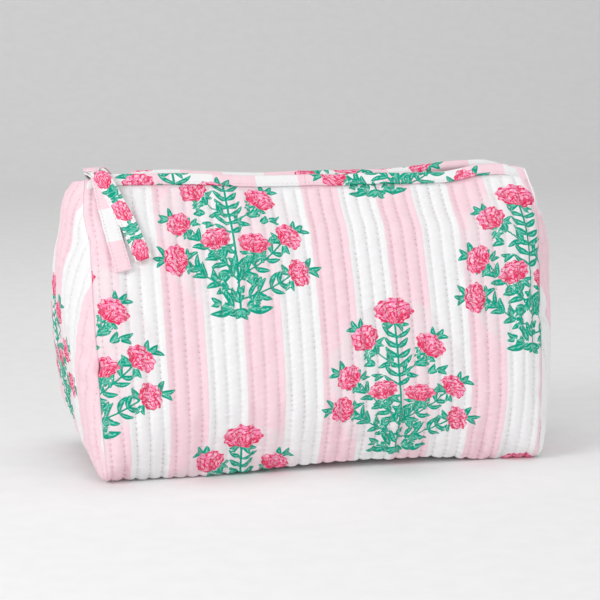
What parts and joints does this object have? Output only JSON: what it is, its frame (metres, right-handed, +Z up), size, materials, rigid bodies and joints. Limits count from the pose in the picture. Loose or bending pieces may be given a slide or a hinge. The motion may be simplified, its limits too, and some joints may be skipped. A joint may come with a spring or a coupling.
{
  "type": "makeup bag",
  "caption": "Quilted zip-top makeup bag: front and back panels lean together over a flat base, padded end gussets, bound top edges, coil zip and folded fabric pull.",
  "frame": {"origin": "centre of the bag's outline in plan, on the surface that the base rests on", "axes": "+X along the zip from the slider's closed end, +Y from front wall to back wall, +Z up"},
  "size_m": [0.311, 0.1414, 0.1838],
  "materials": {
    "quilted_cotton": "matt printed cotton",
    "lining_cotton": "matt",
    "binding_cotton": "matt printed cotton",
    "zip_tape": "fine rib",
    "zip_coil": "satin nylon",
    "zip_metal": "satin nickel",
    "pull_cotton": "matt printed cotton",
    "thread": "spun polyester"
  },
  "bodies": {
    "carcass": {"base_panel": "quilted_cotton", "base_lining": "lining_cotton", "left_gusset": "quilted_cotton", "right_gusset": "quilted_cotton", "left_gusset_lining": "lining_cotton", "right_gusset_lining": "lining_cotton", "left_seam_binding": "lining_cotton", "right_seam_binding": "lining_cotton", "left_zip_end": "zip_tape", "right_zip_end": "zip_tape", "top_stops": "zip_metal", "bottom_stop": "zip_metal"},
    "front_wall": {"front_panel": "quilted_cotton", "front_lining": "lining_cotton", "front_binding": "binding_cotton", "front_zip_tape": "zip_tape", "front_zip_coil": "zip_coil"},
    "back_wall": {"back_panel": "quilted_cotton", "back_lining": "lining_cotton", "back_binding": "binding_cotton", "back_zip_tape": "zip_tape", "back_zip_coil": "zip_coil"},
    "slider": {"slider_body": "zip_metal", "slider_bail": "zip_metal"},
    "fabric_pull": {"pull_loop": "pull_cotton", "front_tail": "pull_cotton", "rear_tail": "pull_cotton", "pull_stitching": "thread"}
  },
  "joints": [
    {"name": "zip_slide", "type": "slide", "parent": "carcass", "child": "slider", "axis": [1, 0, 0], "range_m": [0, 0.259], "deforming": ["front_zip_tape", "front_zip_coil", "back_zip_tape", "back_zip_coil", "pull_loop", "front_tail", "rear_tail", "pull_stitching"]},
    {"name": "front_mouth", "type": "hinge", "parent": "carcass", "child": "front_wall", "pos_m": [0, -0.069, 0.0123], "axis": [1, 0, 0], "range_deg": [0, 9]},
    {"name": "back_mouth", "type": "hinge", "parent": "carcass", "child": "back_wall", "pos_m": [0, 0.069, 0.0123], "axis": [-1, 0, 0], "range_deg": [0, 9]},
    {"name": "pull_swing", "type": "hinge", "parent": "slider", "child": "fabric_pull", "pos_m": [-0.1295, 0, 0.1816], "axis": [-1, 0, 0], "range_deg": [0, 110]}
  ],
  "couplings": [
    {"joint": "front_mouth", "follows": "zip_slide", "rad_per_m": 0.606},
    {"joint": "back_mouth", "follows": "zip_slide", "rad_per_m": 0.606}
  ]
}
